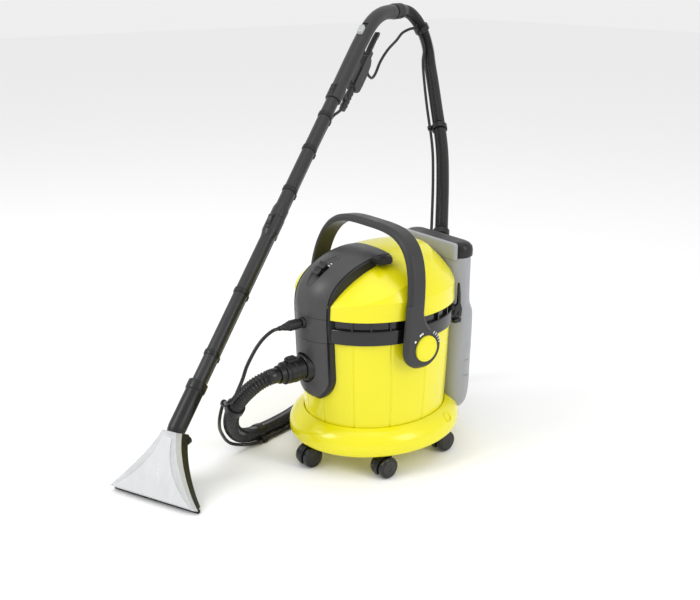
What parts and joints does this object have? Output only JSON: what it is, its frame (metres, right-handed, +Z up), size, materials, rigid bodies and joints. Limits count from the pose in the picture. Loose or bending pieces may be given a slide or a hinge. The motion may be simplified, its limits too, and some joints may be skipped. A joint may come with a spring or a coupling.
{
  "type": "spray extraction carpet cleaner",
  "caption": "Wheeled tub-type spray-extraction cleaner with lift-off domed head, hoop carry handle, rear water tank, hoses, wand and wide nozzle",
  "frame": {"origin": "on the floor, under the middle of the whole object's box without its hoses", "axes": "+Z up, the machine's inlet side faces -Y, and its carry handle turns about +X"},
  "size_m": [0.7962, 1.2957, 0.994],
  "materials": {
    "yellow": "glossy lemon yellow moulding",
    "console_grey": "fine satin dark grey moulding",
    "handle_grey": "satin charcoal moulding",
    "black": "satin black moulding",
    "rubber": "matt black rubber",
    "hose": "ribbed black flexible plastic",
    "tank": "smoky translucent moulding",
    "nozzle_clear": "clear moulding",
    "light_grey": "satin light grey moulding",
    "steel": "plain steel"
  },
  "bodies": {
    "root": {"base_ring": "yellow", "tub": "yellow", "inlet_housing": "console_grey", "pivot_cap_right": "yellow", "pivot_cap_left": "yellow", "intake_pipe": "black", "hose_connector": "black", "suction_hose": "hose", "spray_hose": "hose", "spray_hose_lead": "hose", "nozzle_body": "black", "nozzle_cover": "nozzle_clear", "nozzle_lip": "rubber", "tube_lower": "handle_grey", "tube_upper": "handle_grey", "spray_pipe": "black", "grip_handle": "handle_grey", "hose_cuff": "black", "spray_trigger": "handle_grey"},
    "head": {"head_band": "black", "motor_deck": "black", "dome_cover": "yellow", "console_mid": "console_grey", "console_hood": "console_grey", "console_trim_left": "black", "console_trim_right": "black", "spray_socket": "black", "spray_plug": "black", "motor_housing": "steel", "float_cage": "black", "filter_cartridge": "light_grey", "spray_pump": "black", "mains_gland": "black", "accessory_hook": "black"},
    "latch": {"head_latch": "black"},
    "rocker_a": {"rocker_suction": "black"},
    "rocker_b": {"rocker_spray": "black"},
    "fan": {"fan_rotor": "steel"},
    "float": {"float_ball": "light_grey"},
    "handle": {"carry_handle": "handle_grey"},
    "tank": {"fresh_water_tank": "tank", "tank_rim": "tank"},
    "cap": {"tank_cap": "black"},
    "button": {"connector_button": "black"},
    "slider": {"air_slider": "light_grey"},
    "lever": {"trigger_lever": "black"},
    "tube_catch_low": {"tube_latch_lower": "black"},
    "tube_catch_high": {"tube_latch_upper": "black"},
    "knob": {"nozzle_knob": "black"},
    "caster_1": {"caster_fork_1": "black"},
    "wheels_1": {"caster_wheels_1": "black"},
    "caster_2": {"caster_fork_2": "black"},
    "wheels_2": {"caster_wheels_2": "black"},
    "caster_3": {"caster_fork_3": "black"},
    "wheels_3": {"caster_wheels_3": "black"},
    "caster_4": {"caster_fork_4": "black"},
    "wheels_4": {"caster_wheels_4": "black"},
    "caster_5": {"caster_fork_5": "black"},
    "wheels_5": {"caster_wheels_5": "black"}
  },
  "joints": [
    {"name": "caster_swivel_1", "type": "hinge", "parent": "root", "child": "caster_1", "pos_m": [0.182, -0.1319, 0.05], "axis": [0, 0, 1], "continuous": true},
    {"name": "caster_roll_1", "type": "hinge", "parent": "caster_1", "child": "wheels_1", "pos_m": [0.182, -0.1419, 0.025], "axis": [1, 0, 0], "continuous": true},
    {"name": "caster_swivel_2", "type": "hinge", "parent": "root", "child": "caster_2", "pos_m": [0.32778, -0.02805, 0.05], "axis": [0, 0, 1], "continuous": true},
    {"name": "caster_roll_2", "type": "hinge", "parent": "caster_2", "child": "wheels_2", "pos_m": [0.32778, -0.03805, 0.025], "axis": [1, 0, 0], "continuous": true},
    {"name": "caster_swivel_3", "type": "hinge", "parent": "root", "child": "caster_3", "pos_m": [0.31153, 0.16427, 0.05], "axis": [0, 0, 1], "continuous": true},
    {"name": "caster_roll_3", "type": "hinge", "parent": "caster_3", "child": "wheels_3", "pos_m": [0.31153, 0.15427, 0.025], "axis": [1, 0, 0], "continuous": true},
    {"name": "caster_swivel_4", "type": "hinge", "parent": "root", "child": "caster_4", "pos_m": [0.05247, 0.16427, 0.05], "axis": [0, 0, 1], "continuous": true},
    {"name": "caster_roll_4", "type": "hinge", "parent": "caster_4", "child": "wheels_4", "pos_m": [0.05247, 0.15427, 0.025], "axis": [1, 0, 0], "continuous": true},
    {"name": "caster_swivel_5", "type": "hinge", "parent": "root", "child": "caster_5", "pos_m": [0.03622, -0.02805, 0.05], "axis": [0, 0, 1], "continuous": true},
    {"name": "caster_roll_5", "type": "hinge", "parent": "caster_5", "child": "wheels_5", "pos_m": [0.03622, -0.03805, 0.025], "axis": [1, 0, 0], "continuous": true},
    {"name": "carry_handle_swing", "type": "hinge", "parent": "root", "child": "handle", "pos_m": [0.182, 0.043, 0.303], "axis": [1, 0, 0], "range_deg": [-30, 50]},
    {"name": "head_lift", "type": "slide", "parent": "root", "child": "head", "axis": [0, 0, 1], "range_m": [0, 0.012]},
    {"name": "head_latch_tip", "type": "hinge", "parent": "head", "child": "latch", "pos_m": [0.252, -0.005, 0.489], "axis": [1, 0, 0], "range_deg": [0, 18]},
    {"name": "rocker_suction_press", "type": "hinge", "parent": "head", "child": "rocker_a", "pos_m": [0.182, -0.11449, 0.46455], "axis": [1, 0, 0], "range_deg": [0, 9]},
    {"name": "rocker_spray_press", "type": "hinge", "parent": "head", "child": "rocker_b", "pos_m": [0.182, -0.1003, 0.47563], "axis": [1, 0, 0], "range_deg": [0, 9]},
    {"name": "fan_spin", "type": "hinge", "parent": "head", "child": "fan", "pos_m": [0.182, 0.053, 0.35], "axis": [0, 0, 1], "continuous": true},
    {"name": "float_rise", "type": "slide", "parent": "head", "child": "float", "axis": [0, 0, 1], "range_m": [0, 0.014]},
    {"name": "tank_lift", "type": "slide", "parent": "root", "child": "tank", "axis": [0, 0, 1], "range_m": [0, 0.12]},
    {"name": "tank_cap_open", "type": "hinge", "parent": "tank", "child": "cap", "pos_m": [0.182, 0.2774, 0.4533], "axis": [-1, 0, 0], "range_deg": [0, 80]},
    {"name": "connector_button_press", "type": "slide", "parent": "root", "child": "button", "axis": [0, 0, -1], "range_m": [0, 0.002], "stiffness_N_per_m": 300, "springref_m": -0.002},
    {"name": "air_slider_travel", "type": "slide", "parent": "root", "child": "slider", "axis": [-0.3236, 0.7302, 0.6018], "range_m": [0, 0.014]},
    {"name": "trigger_squeeze", "type": "hinge", "parent": "root", "child": "lever", "pos_m": [-0.29293, 0.4102, 0.86809], "axis": [0.9143, 0.4051, 0], "range_deg": [0, 6], "stiffness_Nm_per_rad": 0.3, "springref_deg": -28.65},
    {"name": "tube_catch_low_slide", "type": "slide", "parent": "root", "child": "tube_catch_low", "axis": [-0.3034, 0.6847, 0.6626], "range_m": [0, 0.005], "stiffness_N_per_m": 200, "springref_m": -0.003},
    {"name": "tube_catch_high_slide", "type": "slide", "parent": "root", "child": "tube_catch_high", "axis": [-0.3034, 0.6847, 0.6626], "range_m": [0, 0.005], "stiffness_N_per_m": 200, "springref_m": -0.003},
    {"name": "nozzle_knob_turn", "type": "hinge", "parent": "root", "child": "knob", "pos_m": [0.08437, -0.40175, 0.104], "axis": [-0.4051, 0.9143, 0], "range_deg": [0, 90]}
  ]
}
